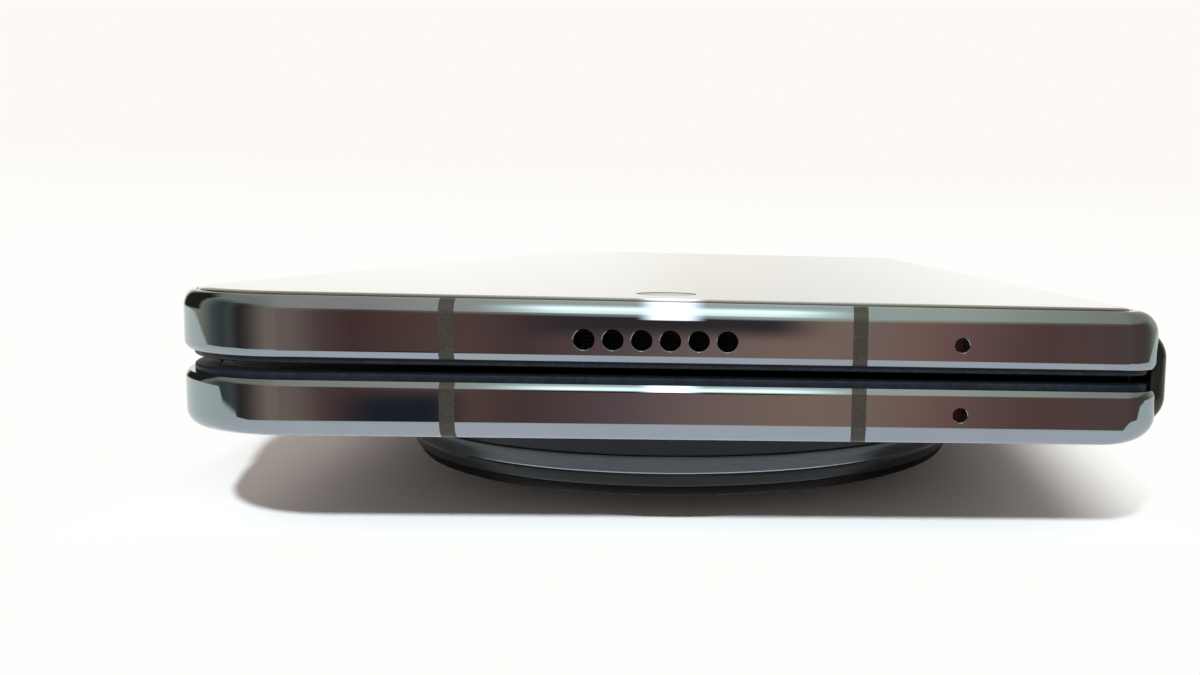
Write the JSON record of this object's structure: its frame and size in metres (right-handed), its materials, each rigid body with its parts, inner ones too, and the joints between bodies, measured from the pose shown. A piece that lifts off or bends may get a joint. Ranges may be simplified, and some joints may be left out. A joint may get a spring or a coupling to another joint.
{
  "type": "foldable smartphone",
  "caption": "Book-style folding phone with a geared side hinge, an outer display, a flexible inner display and a raised round camera housing on its back.",
  "frame": {"origin": "on the surface that the closed phone's camera housing rests on, under the middle of the closed phone", "axes": "+Z out of the outer display, +Y along the hinge away from the phone's top edge, +X from the free edge to the hinge"},
  "size_m": [0.0732, 0.16, 0.0162],
  "materials": {
    "frame_metal": "mirror polished, dark gunmetal tone",
    "antenna_plastic": "moulded, flush polished",
    "cover_glass": "polished",
    "camera_glass": "polished black",
    "back_panel": "satin coated composite",
    "bump_skirt": "gloss coated",
    "bump_metal": "fine satin, polished lower edge",
    "display_film": "polished film",
    "panel": "smooth",
    "bezel_plastic": "satin moulded",
    "gasket": "foam adhesive",
    "spine_metal": "dark gloss coating",
    "hinge_steel": "machined",
    "gear_brass": "machined",
    "magnet": "nickel plated",
    "camera_body": "moulded black",
    "flash_lens": "clear moulded",
    "speaker_box": "moulded",
    "mesh": "woven, blackened",
    "microphone_can": "gold flashed",
    "cell": "laminated pouch",
    "board": "solder mask",
    "shield": "stamped",
    "coil": "enamelled copper"
  },
  "bodies": {
    "camera_half": {"camera_frame": "frame_metal", "camera_antenna_inserts": "antenna_plastic", "back_cover": "back_panel", "back_gasket": "gasket", "bump_base": "bump_skirt", "bump_ring": "bump_metal", "bump_glass": "camera_glass", "main_camera": "camera_body", "wide_camera": "camera_body", "tele_camera": "camera_body", "camera_flash": "flash_lens", "main_board": "board", "board_shields": "shield", "main_battery": "cell", "charging_coil": "coil", "usb_port": "shield", "bottom_speaker": "speaker_box", "bottom_speaker_mesh": "mesh", "camera_microphones": "microphone_can", "sim_reader": "shield", "button_switches": "microphone_can", "camera_magnets": "magnet", "inner_display_camera": "display_film", "inner_bezel_camera": "bezel_plastic", "inner_camera": "camera_body", "camera_hinge_leaves": "hinge_steel", "camera_hinge_shafts": "hinge_steel", "camera_screws": "hinge_steel"},
    "spine": {"spine_cover": "spine_metal", "spine_end_caps": "spine_metal", "hinge_brackets": "hinge_steel", "torque_springs": "hinge_steel", "spine_screws": "hinge_steel", "display_fold": "display_film"},
    "cover_half": {"cover_frame": "frame_metal", "cover_antenna_inserts": "antenna_plastic", "cover_glass": "cover_glass", "cover_gasket": "gasket", "cover_display_panel": "panel", "cover_camera": "camera_body", "top_speaker": "speaker_box", "top_speaker_mesh": "mesh", "cover_microphone": "microphone_can", "cover_battery": "cell", "cover_board": "board", "vibration_motor": "shield", "cover_magnets": "magnet", "inner_display_cover": "display_film", "inner_bezel_cover": "bezel_plastic", "cover_hinge_leaves": "hinge_steel", "cover_hinge_shafts": "hinge_steel", "cover_screws": "hinge_steel"},
    "idler_a": {"idler_gears_a": "gear_brass"},
    "idler_b": {"idler_gears_b": "gear_brass"},
    "power_button": {"power_button": "frame_metal"},
    "volume_button": {"volume_button": "frame_metal"},
    "sim_tray": {"sim_tray": "frame_metal"}
  },
  "joints": [
    {"name": "spine_fold", "type": "hinge", "parent": "camera_half", "child": "spine", "pos_m": [0.03438, 0, 0.0096], "axis": [0, 1, 0], "range_deg": [0, 90], "deforming": ["display_fold"]},
    {"name": "cover_fold", "type": "hinge", "parent": "spine", "child": "cover_half", "pos_m": [0.03438, 0, 0.0124], "axis": [0, 1, 0], "range_deg": [0, 90]},
    {"name": "idler_a_turn", "type": "hinge", "parent": "spine", "child": "idler_a", "pos_m": [0.03438, 0, 0.01053], "axis": [0, 1, 0], "range_deg": [0, 90]},
    {"name": "idler_b_turn", "type": "hinge", "parent": "spine", "child": "idler_b", "pos_m": [0.03438, 0, 0.01147], "axis": [0, 1, 0], "range_deg": [-90, 0]},
    {"name": "power_press", "type": "slide", "parent": "camera_half", "child": "power_button", "axis": [1, 0, 0], "range_m": [0, 0.00025], "stiffness_N_per_m": 3000, "springref_m": -0.0003},
    {"name": "volume_rock", "type": "hinge", "parent": "camera_half", "child": "volume_button", "pos_m": [-0.03385, -0.034, 0.0083], "axis": [0, 0, 1], "range_deg": [-1.1, 1.1], "stiffness_Nm_per_rad": 0.5},
    {"name": "tray_slide", "type": "slide", "parent": "camera_half", "child": "sim_tray", "axis": [0, 1, 0], "range_m": [0, 0.0135]}
  ],
  "couplings": [
    {"joint": "cover_fold", "follows": "spine_fold", "ratio": 1},
    {"joint": "idler_a_turn", "follows": "spine_fold", "ratio": 1},
    {"joint": "idler_b_turn", "follows": "spine_fold", "ratio": -1}
  ]
}
